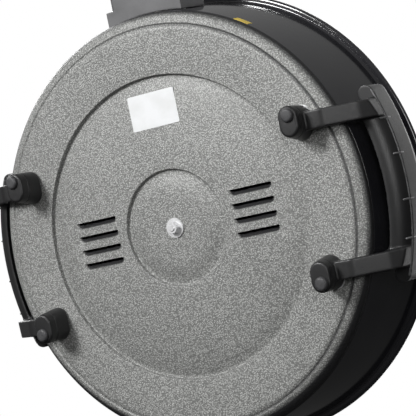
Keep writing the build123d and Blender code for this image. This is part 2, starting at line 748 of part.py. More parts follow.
def make_rim_band():
    """Bright steel band rolled round the glass's edge; it rests on the pan's seat."""
    low = SEAT_Z + BAND_GAP
    glass_in = GLASS_EDGE_Z + dome_height(GLASS_R - 4)
    corners = [
        (BAND_IN, glass_in - 1.2),
        (BAND_R - 1.6, low),
        (BAND_R, low),
        (BAND_R, glass_in + GLASS + 1.5),
        (GLASS_R - 8, glass_in + GLASS + 3.1),
        (GLASS_R - 8, glass_in + GLASS + 2.3),
        (GLASS_R - 3.6, glass_in + GLASS + 0.3),
        (GLASS_R - 3.6, glass_in - 0.2),
        (BAND_IN + 0.6, glass_in - 0.4),
    ]
    return turned(corners)


def base_bottom():
    """Height that the knob's base starts from; the glass's curve is cut out of it."""
    return GLASS_EDGE_Z + GLASS + dome_height(KNOB_BASE_R * 0.55)


def make_knob_base():
    base = turned(
        [(M5 + 0.2, 0), (KNOB_BASE_R, 0), (KNOB_BASE_R, 3.0), (16.0, KNOB_BASE_HEIGHT),
         (M5 + 0.2, KNOB_BASE_HEIGHT)],
        [0, 0, 1.4, 1.0, 0],
    )
    base = Pos(0, 0, base_bottom()) * base
    return base - glass_cap(GLASS + 0.02)


def glass_cap(lift):
    """Solid under the glass's outer face, to cut fittings to its curve."""
    sphere = (GLASS_R ** 2 + GLASS_RISE ** 2) / (2 * GLASS_RISE)
    centre_z = GLASS_EDGE_Z + GLASS_RISE - sphere
    return Pos(0, 0, centre_z) * Sphere(sphere + lift)


def knob_bottom():
    return base_bottom() + KNOB_BASE_HEIGHT


def make_lid_knob():
    knob = turned(
        [(0, 0), (13.0, 0), (15.0, 5.0), (KNOB_R, 13.0), (KNOB_R, 18.5), (14, KNOB_HEIGHT),
         (0, KNOB_HEIGHT)],
        [0, 1.0, 3.0, 3.5, 5.0, 8.0, 0],
    )
    knob -= post(M5 + FIT, 0, 0, -1, 12.5)
    return Pos(0, 0, knob_bottom()) * knob


def make_knob_seal():
    """Silicone washer under the glass."""
    high = GLASS_EDGE_Z + dome_height(0) - 0.05
    ring = post(8.0, 0, 0, high - 1.6, high + 1) - post(M5 + 0.2, 0, 0, high - 3, high + 2)
    return ring & glass_cap(-0.02)


def make_knob_screw():
    seat = GLASS_EDGE_Z + dome_height(0) - 1.65
    one = screw(M5, 6.0, 2.6, knob_bottom() - seat + 11.5, 2.2)
    return Pos(0, 0, seat) * one


def make_vent_ring():
    """Steel eyelet that lines the steam vent."""
    mid = GLASS_EDGE_Z + dome_height(VENT_R)
    ring = post(VENT_BORE, VENT_R, 0, mid - 2.2, mid + GLASS + 2.2)
    for low, high in ((mid - 3.2, mid - 2.2), (mid + GLASS + 2.2, mid + GLASS + 3.2)):
        ring += post(VENT_BORE + 2.5, VENT_R, 0, low, high)
    return ring - post(VENT_BORE - 0.9, VENT_R, 0, mid - 5, mid + GLASS + 5)


# ---- label and caution patch ----

def make_rating_label():
    return block(LABEL_X, LABEL_Y, (COVER_Z - 0.2, COVER_Z))


def make_caution_patch():
    """Small printed patch on the skirt, bent to its curve."""
    room = 0.2
    shell = outside_of_pan(room) - outside_of_pan(0.02)
    patch = shell & block((0, 300), (-7.5, 7.5), (SKIRT_Z + 1, SKIRT_Z + 9))
    return Rot(0, 0, CAUTION_ANGLE) * patch


# ---- every node ----

right_handle = make_handle()
right_cover = make_grip_cover()
control_lower, control_upper = make_control_halves()

nodes = {
    "pan_body": make_pan(),
    "bottom_cover": make_cover(),
    "centre_stud": make_centre_stud(),
    "centre_washer": make_centre_washer(),
    "centre_nut": make_centre_nut(),
    "heating_element": make_element(),
    "element_end_seals": make_end_seals(),
    "element_clamps": make_element_clamps(),
    "element_clamp_screws": make_clamp_screws(),
    "terminal_pins": make_terminal_pins(),
    "terminal_bushes": make_terminal_bushes(),
    "probe_sleeve": make_probe_sleeve(),
    "earth_contact": make_earth_contact(),
    "socket_guard": make_socket_guard(),
    "socket_guard_screws": make_guard_screws(),
    "handle_right": right_handle,
    "handle_left": mirror(right_handle, about=Plane.YZ),
    "grip_cover_right": right_cover,
    "grip_cover_left": mirror(right_cover, about=Plane.YZ),
    "handle_spacers": make_handle_spacers(),
    "handle_screws": make_handle_screws(),
    "rating_label": make_rating_label(),
    "caution_patch": make_caution_patch(),
    "control_lower_housing": control_lower,
    "control_upper_housing": control_upper,
    "control_housing_screws": make_control_screws(),
    "contact_sleeves": make_contact_sleeves(),
    "probe_rod": make_probe_rod(),
    "switch_block": make_switch_block(),
    "pilot_lamp_lens": make_pilot_lens(),
    "cord_inlet_collar": make_cord_inlet(),
    "temperature_dial": make_dial(),
    "dial_shaft": make_dial_shaft(),
    "lid_glass": make_lid_glass(),
    "lid_rim_band": make_rim_band(),
    "knob_base": make_knob_base(),
    "lid_knob": make_lid_knob(),
    "knob_seal": make_knob_seal(),
    "knob_screw": make_knob_screw(),
    "steam_vent_ring": make_vent_ring(),
}

CORNER_NAMES = ("front_right", "back_right", "front_left", "back_left")
feet = zip(CORNER_NAMES, four_corners(FOOT_X, FOOT_Y), four_corners(PAD_X, PAD_Y))
for name, foot_place, pad_place in feet:
    nodes["foot_cap_" + name] = make_foot_cap(*foot_place)
    nodes["foot_pad_" + name] = make_foot_pad(*pad_place)

os.makedirs("parts", exist_ok=True)
for name, shape in nodes.items():
    export_step(shape, f"parts/{name}.step")
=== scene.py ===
import bpy
import bmesh
import json
import math
from mathutils import Matrix, Vector
from mathutils.geometry import delaunay_2d_cdt


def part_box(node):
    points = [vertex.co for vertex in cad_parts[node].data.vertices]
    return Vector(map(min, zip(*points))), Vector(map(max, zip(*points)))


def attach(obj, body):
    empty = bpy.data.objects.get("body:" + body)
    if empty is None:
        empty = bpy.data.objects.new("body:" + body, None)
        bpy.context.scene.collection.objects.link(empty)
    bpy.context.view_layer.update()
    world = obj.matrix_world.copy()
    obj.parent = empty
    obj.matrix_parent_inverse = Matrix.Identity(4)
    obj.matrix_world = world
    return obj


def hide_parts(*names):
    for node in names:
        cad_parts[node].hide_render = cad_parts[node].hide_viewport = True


# Round electric pizza pan seen from underneath. Metres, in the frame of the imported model:
# +Z is up, the pan's axis is the Z axis, the foot pads stand on z = 0 and the socket is at -Y.

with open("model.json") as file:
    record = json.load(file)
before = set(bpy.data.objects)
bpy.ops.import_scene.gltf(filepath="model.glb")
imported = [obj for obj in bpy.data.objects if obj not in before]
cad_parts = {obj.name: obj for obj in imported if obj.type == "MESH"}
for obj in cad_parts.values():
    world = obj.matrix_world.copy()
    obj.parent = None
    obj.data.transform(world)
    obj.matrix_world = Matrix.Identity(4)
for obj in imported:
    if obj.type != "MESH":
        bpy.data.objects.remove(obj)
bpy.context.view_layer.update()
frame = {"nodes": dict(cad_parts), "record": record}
scene = bpy.context.scene
nodes = frame["nodes"]
MM = 0.001
PAN = "pan"
CONTROL = "control"
DIAL = "dial"
SIDES = (("right", 1), ("left", -1))
CORNERS = ("front_right", "back_right", "front_left", "back_left")
FLOOR = 4                       # half the floor's side
FLOOR_FADE = (0.8, 3.9)         # radii between which the floor goes over to white


# ---- camera, world and lights ----

# the world's light from the socket's side, from the far side, and the least from anywhere
WORLD_FRONT = 0.36
WORLD_BACK = -0.10
WORLD_LEAST = 0.04


def aimed(place, target, up):
    """Matrix of a camera or lamp at a place, looking at a target, with its top towards up."""
    forward = (Vector(target) - Vector(place)).normalized()
    right = forward.cross(Vector(up)).normalized()
    top = right.cross(forward)
    turn = Matrix((right, top, -forward)).transposed().to_4x4()
    return Matrix.Translation(place) @ turn


def make_camera():
    """A long lens under the pan, to its right, that sees the whole bottom cover."""
    data = bpy.data.cameras.new("camera")
    data.sensor_width = 36
    data.lens = 157.6
    camera = bpy.data.objects.new("camera", data)
    scene.collection.objects.link(camera)
    camera.matrix_world = aimed(
        place=(0.9084, 0.0232, -1.3421),
        target=(0.0384, -0.0111, 0.030),
        up=(0.1815, -0.9792, 0.0906),
    )
    scene.camera = camera


def make_world():
    """White to look at, and dimmer as a light, so that the lamps shape the object."""
    world = bpy.data.worlds.new("studio")
    world.use_nodes = True
    tree = world.node_tree
    back = tree.nodes["Background"]
    back.inputs["Color"].default_value = (1, 1, 1, 1)
    direction = tree.nodes.new("ShaderNodeTexCoord").outputs["Generated"]
    parts = tree.nodes.new("ShaderNodeSeparateXYZ")
    tree.links.new(direction, parts.inputs["Vector"])
    fall = tree.nodes.new("ShaderNodeMapRange")
    fall.inputs["From Min"].default_value = -1.0
    fall.inputs["To Min"].default_value = WORLD_FRONT
    fall.inputs["To Max"].default_value = WORLD_BACK
    tree.links.new(parts.outputs["Y"], fall.inputs["Value"])
    seen = tree.nodes.new("ShaderNodeLightPath").outputs["Is Camera Ray"]
    white = tree.nodes.new("ShaderNodeMath")
    white.operation = "MAXIMUM"
    tree.links.new(seen, white.inputs[0])
    tree.links.new(fall.outputs["Result"], white.inputs[1])
    level = tree.nodes.new("ShaderNodeMath")
    level.operation = "MAXIMUM"
    tree.links.new(white.outputs["Value"], level.inputs[0])
    level.inputs[1].default_value = WORLD_LEAST
    tree.links.new(level.outputs["Value"], back.inputs["Strength"])
    scene.world = world
    scene.view_settings.view_transform = "Standard"


def soft_box(name, place, target, size, power):
    """A square area lamp that looks at a target."""
    data = bpy.data.lights.new(name, "AREA")
    data.shape = "SQUARE"
    data.size = size
    data.energy = power
    lamp = bpy.data.objects.new(name, data)
    scene.collection.objects.link(lamp)
    lamp.matrix_world = aimed(place, target, (0, 0.3, 1))


def make_lights():
    """Two lamps above the floor, and two below it that light the underside."""
    middle = (0, 0, 0.08)
    soft_box("overhead", (0.0, -0.05, 2.8), middle, 2.2, 42)
    soft_box("side_key", (-2.0, -1.4, 1.5), middle, 1.0, 46)
    soft_box("under_key", (-0.9, -1.4, -2.0), middle, 0.8, 74)
    soft_box("under_fill", (1.7, -0.6, -1.9), middle, 1.0, 20)


# ---- materials ----

class Finish:
    """One procedural material on a Principled shader, with textures in the object's own metres."""

    def __init__(self, name, colour, roughness, metallic=0.0, **shader):
        self.material = bpy.data.materials.new(name)
        self.material.use_nodes = True
        self.tree = self.material.node_tree
        self.shader = self.tree.nodes["Principled BSDF"]
        self.shader.inputs["Base Color"].default_value = (*colour, 1)
        self.shader.inputs["Roughness"].default_value = roughness
        self.shader.inputs["Metallic"].default_value = metallic
        for key, value in shader.items():
            self.shader.inputs[key.replace("_", " ")].default_value = value
        self.place = self.add("ShaderNodeTexCoord").outputs["Object"]

    def add(self, kind, **values):
        """A node whose sockets are numbers, colours or links from other nodes."""
        node = self.tree.nodes.new(kind)
        for key, value in values.items():
            socket = node.inputs[key.replace("_", " ")]
            if isinstance(value, bpy.types.NodeSocket):
                self.tree.links.new(value, socket)
            else:
                socket.default_value = value
        return node

    def set(self, socket, source):
        """Feeds one of the shader's sockets."""
        self.tree.links.new(source, self.shader.inputs[socket])

    def noise(self, scale, detail=3.0, roughness=0.5, place=None):
        node = self.add(
            "ShaderNodeTexNoise",
            Vector=place or self.place, Scale=scale, Detail=detail, Roughness=roughness,
        )
        return node.outputs["Fac"]

    def cells(self, scale):
        """Distance from the middle of the nearest soft-edged cell."""
        node = self.tree.nodes.new("ShaderNodeTexVoronoi")
        node.feature = "SMOOTH_F1"
        node.inputs["Scale"].default_value = scale
        node.inputs["Smoothness"].default_value = 0.35
        self.tree.links.new(self.place, node.inputs["Vector"])
        return node.outputs["Distance"]

    def math(self, operation, a, b=0.0, clamp=False):
        node = self.tree.nodes.new("ShaderNodeMath")
        node.operation = operation
        node.use_clamp = clamp
        for index, value in enumerate((a, b)):
            if isinstance(value, bpy.types.NodeSocket):
                self.tree.links.new(value, node.inputs[index])
            else:
                node.inputs[index].default_value = value
        return node.outputs["Value"]

    def ramp(self, source, *stops):
        """Colour ramp through (position, colour) stops; a plain number is a grey."""
        node = self.add("ShaderNodeValToRGB", Fac=source)
        line = node.color_ramp
        while len(line.elements) < len(stops):
            line.elements.new(0.5)
        for element, (at, colour) in zip(line.elements, stops):
            if not isinstance(colour, tuple):
                colour = (colour, colour, colour)
            element.position = at
            element.color = (*colour, 1)
        return node.outputs["Color"]

    def range(self, source, low, high, to_low, to_high):
        """Straight change from one number to another as the source goes from low to high."""
        node = self.add(
            "ShaderNodeMapRange",
            Value=source, From_Min=low, From_Max=high, To_Min=to_low, To_Max=to_high,
        )
        return node.outputs["Result"]

    def mix(self, factor, a, b, blend="MIX"):
        """Colour a, going over to b as the factor goes from 0 to 1."""
        node = self.tree.nodes.new("ShaderNodeMix")
        node.data_type = "RGBA"
        node.blend_type = blend
        for socket, value in ((node.inputs[0], factor), (node.inputs[6], a), (node.inputs[7], b)):
            if isinstance(value, bpy.types.NodeSocket):
                self.tree.links.new(value, socket)
            else:
                socket.default_value = value
        return node.outputs[2]

    def bump(self, height, distance, strength, under=None):
        """Raises the surface by a height, over another bump if one is given."""
        node = self.add("ShaderNodeBump", Height=height, Distance=distance, Strength=strength)
        if under is not None:
            self.tree.links.new(under, node.inputs["Normal"])
        self.set("Normal", node.outputs["Normal"])
        return node.outputs["Normal"]

    def axis(self, letter):
        """Place along the X, Y or Z axis."""
        return self.add("ShaderNodeSeparateXYZ", Vector=self.place).outputs[letter]

    def radius(self):
        """Distance from the pan's axis."""
        square = self.math("ADD", self.math("POWER", self.axis("X"), 2.0),
                           self.math("POWER", self.axis("Y"), 2.0))
        return self.math("SQRT", square)

    def edges(self):
        """Near 1 on a finely meshed piece's convex edges, 0 in hollows and 0.5 on flats."""
        return self.tree.nodes.new("ShaderNodeNewGeometry").outputs["Pointiness"]


COVER_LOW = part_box("bottom_cover")[0].z

# painted shade on the cover, in mm: dark lines along its creases, black round its rim edge and
# inside its louvres
CREASE_SHADE = ((52.9, 0.8, 0.3), (138.4, 0.7, 0.62), (183.2, 2.2, 0.8))  # radius, half width, share
# the painted crease shade is faint at the first x and full at the second, where the creases' walls
# turn away from the light
CREASE_SHADE_X = (-60, 110)           # creases are faint at the first and full at the second
# painted shade: the paint goes over to black round the rolled rim edge, further in on the +Y side
RIM_SHADE = (191.2, 195.2)       # radii between which the paint ends
RIM_RAGGED = 1.5
EDGE_SHADE_Y = (30, 180)             # between these the fade moves in by EDGE_SHADE_SHIFT
EDGE_SHADE_SHIFT = 5.5
# painted shade inside the louvres, which lie between these radii and darken with depth
LOUVRE_RADII = (57, 120)
LOUVRE_SHADE = (0.6, 2.1)        # depths above the underside


def bare_metal(finish, fine):
    """1 where painted shade turns the cover's paint to black, 0 where the paint keeps its colour.
    """
    def between(source, limits, to_low, to_high):
        return finish.range(source, limits[0] * MM, limits[1] * MM, to_low, to_high)

    radius = finish.radius()
    # painted shade round the rim edge: ragged, and moved inward on the +Y side
    ragged = finish.math("ADD", radius, finish.math("MULTIPLY", fine, RIM_RAGGED * MM))
    ragged = finish.math("ADD", ragged,
                         between(finish.axis("Y"), EDGE_SHADE_Y, 0.0, EDGE_SHADE_SHIFT * MM))
    shade_mask = between(ragged, RIM_SHADE, 0.0, 1.0)
    # painted shade: dark lines along the pressed creases, faint towards -X and full towards +X
    crease_shade_side = between(finish.axis("X"), CREASE_SHADE_X, 0.1, 1.0)
    for at, half, share in CREASE_SHADE:
        far = finish.math("ABSOLUTE", finish.math("SUBTRACT", radius, at * MM))
        line = finish.math("MULTIPLY", crease_shade_side, between(far, (half * 0.35, half), share, 0.0))
        shade_mask = finish.math("MAXIMUM", shade_mask, line)
    # painted shade inside the louvres: the deeper the flap, the darker
    depth = finish.math("SUBTRACT", finish.axis("Z"), COVER_LOW)
    deep_shade = between(depth, LOUVRE_SHADE, 0.0, 1.0)
    ring = finish.math("MULTIPLY", finish.math("GREATER_THAN", radius, LOUVRE_RADII[0] * MM),
                       finish.math("LESS_THAN", radius, LOUVRE_RADII[1] * MM))
    return finish.math("MAXIMUM", shade_mask, finish.math("MULTIPLY", deep_shade, ring), clamp=True)


def hammertone():
    """Grey hammered paint over black: dimples about a millimetre across with paler crowns.

    Painted shade turns it black inside the louvres, along the creases and round the cover's rounded
    edge, most on the +Y side.
    """
    finish = Finish("hammertone paint", (0.28, 0.28, 0.275), 0.5, 0.1, Coat_Weight=0.06,
                    Coat_Roughness=0.3)
    coarse = finish.cells(760)
    fine = finish.noise(1700, 3, 0.6)
    drift = finish.noise(9, 2)
    speckle = finish.math("ADD", finish.math("MULTIPLY", coarse, 0.75),
                          finish.math("MULTIPLY", fine, 0.35))
    base = finish.ramp(speckle, (0.22, (0.66, 0.665, 0.645)), (0.40, (0.33, 0.333, 0.322)),
                       (0.66, (0.16, 0.162, 0.156)))
    shade = finish.ramp(drift, (0.3, 0.88), (0.7, 1.0))
    paint = finish.mix(1.0, base, shade, "MULTIPLY")
    # painted shade: the mask mixes the paint into near black
    finish.set("Base Color", finish.mix(bare_metal(finish, fine), paint,
                                        (0.012, 0.012, 0.013, 1)))
    finish.set("Roughness", finish.range(fine, 0.3, 0.7, 0.42, 0.6))
    dimples = finish.bump(finish.math("SUBTRACT", 1.0, coarse), 0.0006, 0.6)
    finish.bump(fine, 0.00018, 0.5, dimples)
    return finish.material


def pan_enamel():
    """Gloss black enamel outside; satin non-stick with pale flecks on the cooking side."""
    finish = Finish("pan enamel", (0.012, 0.012, 0.014), 0.16, Coat_Weight=0.6,
                    Coat_Roughness=0.06)
    radius, height = finish.radius(), finish.axis("Z")
    hollow = finish.math(
        "MULTIPLY",
        finish.math("LESS_THAN", radius, 201.5 * MM),
        finish.math("GREATER_THAN", height, 70 * MM),
    )
    wall = finish.math("GREATER_THAN", radius, 197.5 * MM)
    low = finish.math("LESS_THAN", height, 122 * MM)
    inside = finish.math("SUBTRACT", hollow, finish.math("MULTIPLY", wall, low), clamp=True)
    flecks = finish.noise(1500, 2, 0.6)
    coat = finish.ramp(flecks, (0.5, 0.022), (0.62, 0.03), (0.72, 0.16))
    drift = finish.noise(14, 3)
    enamel = finish.ramp(drift, (0.35, (0.010, 0.010, 0.012)), (0.7, (0.017, 0.017, 0.020)))
    finish.set("Base Color", finish.mix(inside, enamel, coat))
    gloss = finish.range(drift, 0.3, 0.7, 0.12, 0.2)
    satin = finish.range(flecks, 0.3, 0.7, 0.36, 0.5)
    rough = finish.math("ADD", finish.math("MULTIPLY", inside, satin),
                        finish.math("MULTIPLY", finish.math("SUBTRACT", 1.0, inside), gloss))
    finish.set("Roughness", rough)
    peel = finish.bump(finish.noise(170, 2), 0.00018, 0.6)
    finish.bump(flecks, 0.00006, 0.5, peel)
    return finish.material


def moulded(name, colour, roughness, grain, worn, coat=0.0):
    """Moulded plastic: fine spark-eroded grain, faint flow clouds, paler worn edges."""
    finish = Finish(name, colour, roughness, Coat_Weight=coat, Coat_Roughness=0.2)
    cloud = finish.noise(45, 3)
    base = finish.ramp(cloud, (0.3, tuple(c * 0.82 for c in colour)),
                       (0.7, tuple(c * 1.18 for c in colour)))
    edge = finish.range(finish.edges(), 0.51, 0.60, 0.0, 1.0)
    rub = finish.math("MULTIPLY", edge, finish.range(finish.noise(210, 2), 0.35, 0.6, 0.3, 1.0),
                      clamp=True)
    finish.set("Base Color", finish.mix(rub, base, (*worn, 1)))
    texture = finish.noise(grain, 2, 0.55)
    finish.set("Roughness", finish.range(texture, 0.3, 0.7, roughness - 0.06, roughness + 0.1))
    finish.bump(texture, 0.00012, 0.6)
    return finish.material


def plated(name, colour, roughness, metallic=1.0):
    """Bright plated metal with faint handling marks."""
    finish = Finish(name, colour, roughness, metallic)
    marks = finish.noise(420, 4, 0.7)
    finish.set("Base Color", finish.ramp(marks, (0.35, tuple(c * 0.93 for c in colour)),
                                         (0.65, colour)))
    finish.set("Roughness", finish.range(marks, 0.3, 0.7, roughness * 0.85, roughness * 1.2))
    finish.bump(marks, 0.000012, 0.4)
    return finish.material


def turned_steel(name, colour, roughness):
    """Steel brushed round the axis: fine rings in radius and height."""
    finish = Finish(name, colour, roughness, 1.0)
    parts = finish.tree.nodes.new("ShaderNodeCombineXYZ")
    finish.tree.links.new(finish.radius(), parts.inputs["X"])
    finish.tree.links.new(finish.axis("Z"), parts.inputs["Y"])
    rings = finish.noise(2600, 2, 0.6, parts.outputs["Vector"])
    marks = finish.noise(120, 3)
    finish.set("Base Color", finish.ramp(rings, (0.3, tuple(c * 0.85 for c in colour)),
                                         (0.7, colour)))
    finish.set("Roughness", finish.range(marks, 0.3, 0.7, roughness * 0.8, roughness * 1.4))
    finish.bump(rings, 0.00003, 0.5)
    return finish.material


def heated_steel():
    """Element sheath: straw to blue-brown heat stain over dull steel."""
    finish = Finish("heated steel", (0.33, 0.31, 0.29), 0.4, 0.9)
    stain = finish.noise(38, 3, 0.6)
    finish.set("Base Color", finish.ramp(
        stain, (0.3, (0.16, 0.12, 0.10)), (0.48, (0.34, 0.28, 0.21)), (0.62, (0.30, 0.30, 0.33)),
        (0.8, (0.42, 0.40, 0.37)),
    ))
    scale = finish.noise(800, 3)
    finish.set("Roughness", finish.range(scale, 0.3, 0.7, 0.32, 0.55))
    finish.bump(scale, 0.00005, 0.5)
    return finish.material


def fired_ceramic():
    """Unglazed cream ceramic with a gritty surface."""
    finish = Finish("fired ceramic", (0.82, 0.80, 0.74), 0.6)
    grit = finish.noise(1300, 3, 0.6)
    cloud = finish.noise(70, 2)
    finish.set("Base Color", finish.ramp(cloud, (0.3, (0.78, 0.75, 0.68)),
                                         (0.7, (0.86, 0.84, 0.79))))
    finish.set("Roughness", finish.range(grit, 0.3, 0.7, 0.5, 0.75))
    finish.bump(grit, 0.00008, 0.6)
    return finish.material


def printed_blank(name, colour, aged):
    """Blank satin label: faint waves of the film and slightly aged patches."""
    finish = Finish(name, colour, 0.38, Coat_Weight=0.2, Coat_Roughness=0.25)
    cloud = finish.noise(60, 3)
    finish.set("Base Color", finish.ramp(cloud, (0.32, aged), (0.6, colour)))
    finish.set("Roughness", finish.range(finish.noise(500, 2), 0.3, 0.7, 0.3, 0.46))
    waves = finish.bump(finish.noise(95, 1), 0.0004, 0.35)
    finish.bump(finish.noise(2400, 2), 0.00003, 0.4, waves)
    return finish.material


def red_lens():
    """Moulded red lens with a faintly uneven face."""
    finish = Finish("red lens", (0.55, 0.02, 0.015), 0.12, Transmission_Weight=0.55, IOR=1.49)
    ribs = finish.noise(700, 1)
    finish.set("Base Color", finish.ramp(ribs, (0.3, (0.42, 0.012, 0.010)),
                                         (0.7, (0.66, 0.03, 0.02))))
    finish.bump(ribs, 0.00008, 0.5)
    return finish.material


def clear_glass():
    """Tempered glass with a faint green body, a few dry water marks and slight waviness."""
    finish = Finish("tempered glass", (0.90, 0.95, 0.93), 0.02, Transmission_Weight=1.0, IOR=1.5)
    marks = finish.noise(32, 4, 0.7)
    finish.set("Roughness", finish.range(marks, 0.45, 0.75, 0.01, 0.09))
    finish.set("Base Color", finish.ramp(marks, (0.4, (0.90, 0.95, 0.93)),
                                         (0.8, (0.84, 0.89, 0.87))))
    finish.bump(finish.noise(11, 1), 0.0004, 0.15)
    return finish.material


def soft_rubber(name, colour, roughness):
    """Matt rubber with a fine grain and pale dust in patches."""
    finish = Finish(name, colour, roughness)
    dust = finish.noise(160, 4, 0.7)
    dusty = tuple(c * 1.7 for c in colour)
    finish.set("Base Color", finish.ramp(dust, (0.4, colour), (0.75, dusty)))
    grain = finish.noise(1700, 2)
    finish.set("Roughness", finish.range(grain, 0.3, 0.7, roughness - 0.08, roughness + 0.1))
    finish.bump(grain, 0.00006, 0.5)
    return finish.material


def pale_floor():
    """Pale matt floor that fades into the white backdrop; clear when seen from below."""
    finish = Finish("pale floor", (0.72, 0.72, 0.71), 0.75)
    cloud = finish.noise(3, 3)
    finish.set("Base Color", finish.ramp(cloud, (0.3, 0.70), (0.7, 0.75)))
    finish.bump(finish.noise(260, 3), 0.0003, 0.2)
    finish.shader.inputs["Emission Color"].default_value = (1, 1, 1, 1)
    finish.set("Emission Strength", finish.range(finish.radius(), *FLOOR_FADE, 0.0, 1.0))
    clear = finish.tree.nodes.new("ShaderNodeBsdfTransparent")
    back = finish.tree.nodes.new("ShaderNodeNewGeometry").outputs["Backfacing"]
    seen = finish.tree.nodes.new("ShaderNodeLightPath").outputs["Is Camera Ray"]
    shown = finish.math("MULTIPLY", seen, finish.math("SUBTRACT", 1.0, back))
    both = finish.add("ShaderNodeMixShader", Fac=shown)
    finish.tree.links.new(clear.outputs["BSDF"], both.inputs[1])
    finish.tree.links.new(finish.shader.outputs["BSDF"], both.inputs[2])
    finish.tree.links.new(both.outputs["Shader"], finish.tree.nodes["Material Output"].inputs[0])
    return finish.material


materials = {
    "pan_enamel": pan_enamel(),
    "cover_hammer": hammertone(),
    "black_phenolic": moulded("black phenolic", (0.010, 0.010, 0.0105), 0.40, 1100,
                              (0.045, 0.045, 0.047)),
    "guard_plastic": moulded("guard plastic", (0.10, 0.10, 0.103), 0.52, 1400, (0.16, 0.16, 0.165)),
    "foot_rubber": soft_rubber("foot rubber", (0.035, 0.035, 0.037), 0.52),
    "bright_steel": plated("bright plated steel", (0.86, 0.86, 0.87), 0.34, metallic=0.6),
    "band_steel": turned_steel("brushed band", (0.70, 0.70, 0.71), 0.22),
    "element_steel": heated_steel(),
    "ceramic_white": fired_ceramic(),
    "brass_contacts": plated("brass", (0.78, 0.60, 0.30), 0.25),
    "label_white": printed_blank("white label", (0.77, 0.78, 0.79), (0.70, 0.71, 0.71)),
    "patch_yellow": printed_blank("yellow patch", (0.80, 0.58, 0.05), (0.72, 0.52, 0.06)),
    "control_black": moulded("control black", (0.026, 0.026, 0.028), 0.36, 1500,
                             (0.07, 0.07, 0.072), coat=0.15),
    "dial_plastic": moulded("dial plastic", (0.040, 0.040, 0.043), 0.30, 1700,
                            (0.10, 0.10, 0.105), coat=0.2),
    "lamp_red": red_lens(),
    "lid_glass": clear_glass(),
    "seal_silicone": soft_rubber("silicone", (0.5, 0.5, 0.5), 0.45),
}
# paler plastic for the grip seams' bead and ridges: a painted highlight for the light line along
# the seam
seam_highlight = moulded("painted seam highlight", (0.16, 0.16, 0.163), 0.3, 900, (0.24, 0.24, 0.245))
print_ink = printed_blank("pale ink", (0.72, 0.73, 0.73), (0.60, 0.61, 0.61))

slot_of = {row["node"]: row["material_slot"] for row in frame["record"]["subparts"]}
for name, node in nodes.items():
    for place in node.material_slots:
        place.material = materials[slot_of[name]]


# ---- helpers for new pieces ----

def new_piece(name, mesh, body, slot, *replaced):
    """A new visible piece that rides on a body and stands for the CAD nodes it replaces."""
    piece = bpy.data.objects.new(name, mesh)
    scene.collection.objects.link(piece)
    mesh.materials.clear()
    mesh.materials.append(materials[slot])
    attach(piece, body)
    if replaced:
        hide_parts(*replaced)
    return piece


def settle(piece):
    """Applies every modifier of a piece to its mesh."""
    depsgraph = bpy.context.evaluated_depsgraph_get()
    mesh = bpy.data.meshes.new_from_object(piece.evaluated_get(depsgraph))
    piece.modifiers.clear()
    piece.data = mesh


def smooth_shaded(mesh, degrees=50):
    """Smooth shading, with edges steeper than an angle kept sharp."""
    mesh.shade_smooth()
    mesh.set_sharp_from_angle(angle=math.radians(degrees))


def mesh_from(name, verts, faces):
    """Smooth-shaded mesh of a list of verts and a list of faces."""
    mesh = bpy.data.meshes.new(name)
    mesh.from_pydata([tuple(v) for v in verts], [], faces)
    mesh.update()
    smooth_shaded(mesh)
    return mesh


def faced_out(mesh):
    """Turns every face of a closed mesh outward."""
    work = bmesh.new()
    work.from_mesh(mesh)
    bmesh.ops.recalc_face_normals(work, faces=work.faces)
    work.to_mesh(mesh)
    work.free()


def flipped(mesh):
    """A copy of a mesh mirrored in the YZ plane."""
    copy = mesh.copy()
    copy.transform(Matrix.Scale(-1, 4, (1, 0, 0)))
    copy.flip_normals()
    return copy


def soften(name, node, voxel, rounds, keep):
    """Mesh of a CAD node with its edges rounded as a moulding's are.

    It is remade from voxels, smoothed over some rounds and thinned to a share of its faces.
    """
    mesh = nodes[node].data.copy()
    piece = bpy.data.objects.new(name, mesh)
    scene.collection.objects.link(piece)
    weld = piece.modifiers.new("weld", "WELD")
    weld.merge_threshold = 1e-6
    remesh = piece.modifiers.new("voxels", "REMESH")
    remesh.mode = "VOXEL"
    remesh.voxel_size = voxel
    smooth = piece.modifiers.new("smooth", "SMOOTH")
    smooth.factor = 0.5
    smooth.iterations = rounds
    thin = piece.modifiers.new("thin", "DECIMATE")
    thin.ratio = keep
    settle(piece)
    result = piece.data
    bpy.data.objects.remove(piece)
    result.shade_smooth()
    return result


def tube(points, radius):
    """Verts and faces of a round bar with domed ends along a line of points."""
    sides = 10
    line = [Vector(p) for p in points]
    rings = []
    for index, point in enumerate(line):
        ahead = line[min(index + 1, len(line) - 1)] - line[max(index - 1, 0)]
        rings.append((point, ahead.normalized(), 1.0))
    first, last = rings[0], rings[-1]
    for step in (0.5, 0.85):
        shrink = math.sqrt(1 - step ** 2)
        rings.insert(0, (first[0] - first[1] * radius * step, first[1], shrink))
        rings.append((last[0] + last[1] * radius * step, last[1], shrink))
    verts, faces = [], []
    for point, ahead, share in rings:
        side = ahead.cross(Vector((0, 0, 1)))
        if side.length < 1e-3:
            side = ahead.cross(Vector((1, 0, 0)))
        side.normalize()
        up = ahead.cross(side)
        for n in range(sides):
            turn = 2 * math.pi * n / sides
            verts.append(point + (side * math.cos(turn) + up * math.sin(turn)) * radius * share)
    for ring in range(len(rings) - 1):
        for n in range(sides):
            a, b = ring * sides + n, ring * sides + (n + 1) % sides
            faces.append((a, a + sides, b + sides, b))
    faces.append(tuple(range(sides)))
    faces.append(tuple(reversed(range(len(verts) - sides, len(verts)))))
    return verts, faces


TURNS = [2 * math.pi * n / 256 for n in range(256)]


